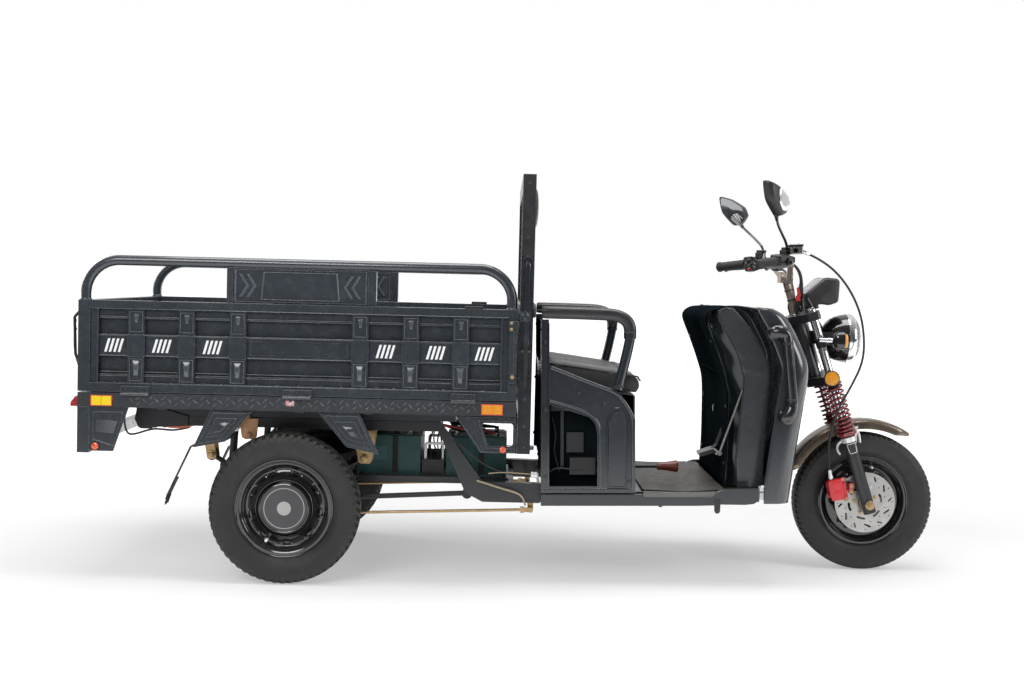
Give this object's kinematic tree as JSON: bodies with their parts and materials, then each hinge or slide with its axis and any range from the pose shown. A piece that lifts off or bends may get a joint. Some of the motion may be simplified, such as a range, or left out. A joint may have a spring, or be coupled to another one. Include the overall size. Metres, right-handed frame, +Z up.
{
  "type": "electric cargo tricycle",
  "caption": "Electric cargo tricycle with an open drop-side tipping load bed, bench seat with armrests, leg shield and handlebar-steered front wheel on a raked fork.",
  "frame": {"origin": "on the ground, under the middle of the vehicle's length and width", "axes": "+X forward, +Y to the rider's left, +Z up"},
  "size_m": [3.0482, 1.038, 1.399],
  "materials": {
    "frame_black": "satin black paint, slightly dusty",
    "body_paint": "dark blue-grey gloss paint",
    "gate_paint": "dark grey-blue paint with pressed ribs",
    "headboard_paint": "dark grey-blue paint",
    "seat_leather": "black vinyl with sewn channels",
    "arm_pad": "black foam-rubber sleeve",
    "battery_case": "teal moulded plastic",
    "box_black": "black moulded plastic",
    "tyre_rubber": "black rubber, blocky tread",
    "rim_black": "gloss black enamel",
    "disc_steel": "ground steel",
    "axle_cast": "black painted casting",
    "leaf_steel": "black painted spring steel",
    "brass_plated": "yellow zinc plate",
    "trim_black": "grained black plastic",
    "chrome_plate": "bright chrome",
    "fork_black": "satin black paint",
    "spring_red": "dark red paint",
    "guard_metal": "polished warm grey metal",
    "caliper_red": "bright red paint",
    "rubber_black": "black rubber",
    "lamp_red": "red lens",
    "lens_amber": "amber lens",
    "lamp_shell": "gloss black bowl with chrome ring"
  },
  "bodies": {
    "chassis": {"main_frame": "frame_black", "frame_cross_members": "frame_black", "steering_neck": "frame_black", "battery_tray": "frame_black", "battery_pack": "battery_case", "controller_box": "box_black", "footboard": "frame_black", "seat_box": "frame_black", "seat_cushion": "seat_leather", "armrests": "arm_pad", "leg_shield": "trim_black", "leg_shield_sides": "body_paint", "front_apron": "body_paint", "crash_bars": "frame_black", "rear_axle": "axle_cast", "leaf_springs": "leaf_steel", "spring_shackles": "brass_plated", "torque_rods": "leaf_steel", "brake_linkage": "brass_plated", "brake_pedal": "rubber_black", "parking_brake_lever": "frame_black"},
    "bed": {"bed_floor": "gate_paint", "bed_side_beams": "frame_black", "rear_corner_posts": "gate_paint", "front_skirts": "gate_paint", "headboard": "headboard_paint", "headboard_badge": "box_black", "tail_lamps": "lamp_red", "bed_reflectors": "lens_amber", "mudguards": "frame_black", "mud_flaps": "rubber_black"},
    "side_gate_right": {"side_gate_right": "gate_paint", "gate_guard_right": "gate_paint"},
    "side_gate_left": {"side_gate_left": "gate_paint", "gate_guard_left": "gate_paint"},
    "tailgate": {"tailgate": "gate_paint", "tailgate_latches": "frame_black"},
    "steering": {"fork_yokes": "fork_black", "fork_legs": "fork_black", "fork_springs": "spring_red", "front_mudguard": "guard_metal", "handlebar": "chrome_plate", "handlebar_grips": "rubber_black", "control_housings": "trim_black", "mirrors": "trim_black", "headlight": "lamp_shell", "front_indicators": "lens_amber", "instrument_box": "box_black", "brake_caliper": "caliper_red", "brake_hose": "rubber_black"},
    "front_wheel": {"front_tyre": "tyre_rubber", "front_rim": "rim_black", "brake_disc": "disc_steel"},
    "rear_wheel_right": {"rear_tyre_right": "tyre_rubber", "rear_rim_right": "rim_black"},
    "rear_wheel_left": {"rear_tyre_left": "tyre_rubber", "rear_rim_left": "rim_black"}
  },
  "joints": [
    {"name": "steering_turn", "type": "hinge", "parent": "chassis", "child": "steering", "pos_m": [1.23396, 0, 0.24264], "axis": [-0.309, 0, 0.9511], "range_deg": [-40, 40]},
    {"name": "front_wheel_spin", "type": "hinge", "parent": "steering", "child": "front_wheel", "pos_m": [1.272, 0, 0.255], "axis": [0, 1, 0], "continuous": true},
    {"name": "rear_wheel_right_spin", "type": "hinge", "parent": "chassis", "child": "rear_wheel_right", "pos_m": [-0.791, -0.469, 0.255], "axis": [0, 1, 0], "continuous": true},
    {"name": "rear_wheel_left_spin", "type": "hinge", "parent": "chassis", "child": "rear_wheel_left", "pos_m": [-0.791, 0.469, 0.255], "axis": [0, 1, 0], "continuous": true},
    {"name": "bed_tilt", "type": "hinge", "parent": "chassis", "child": "bed", "pos_m": [-1.3, 0, 0.559], "axis": [0, -1, 0], "range_deg": [0, 42]},
    {"name": "side_gate_right_drop", "type": "hinge", "parent": "bed", "child": "side_gate_right", "pos_m": [0, -0.507, 0.628], "axis": [1, 0, 0], "range_deg": [0, 150]},
    {"name": "side_gate_left_drop", "type": "hinge", "parent": "bed", "child": "side_gate_left", "pos_m": [0, 0.507, 0.628], "axis": [-1, 0, 0], "range_deg": [0, 150]},
    {"name": "tailgate_drop", "type": "hinge", "parent": "bed", "child": "tailgate", "pos_m": [-1.493, 0, 0.628], "axis": [0, -1, 0], "range_deg": [0, 140]}
  ]
}
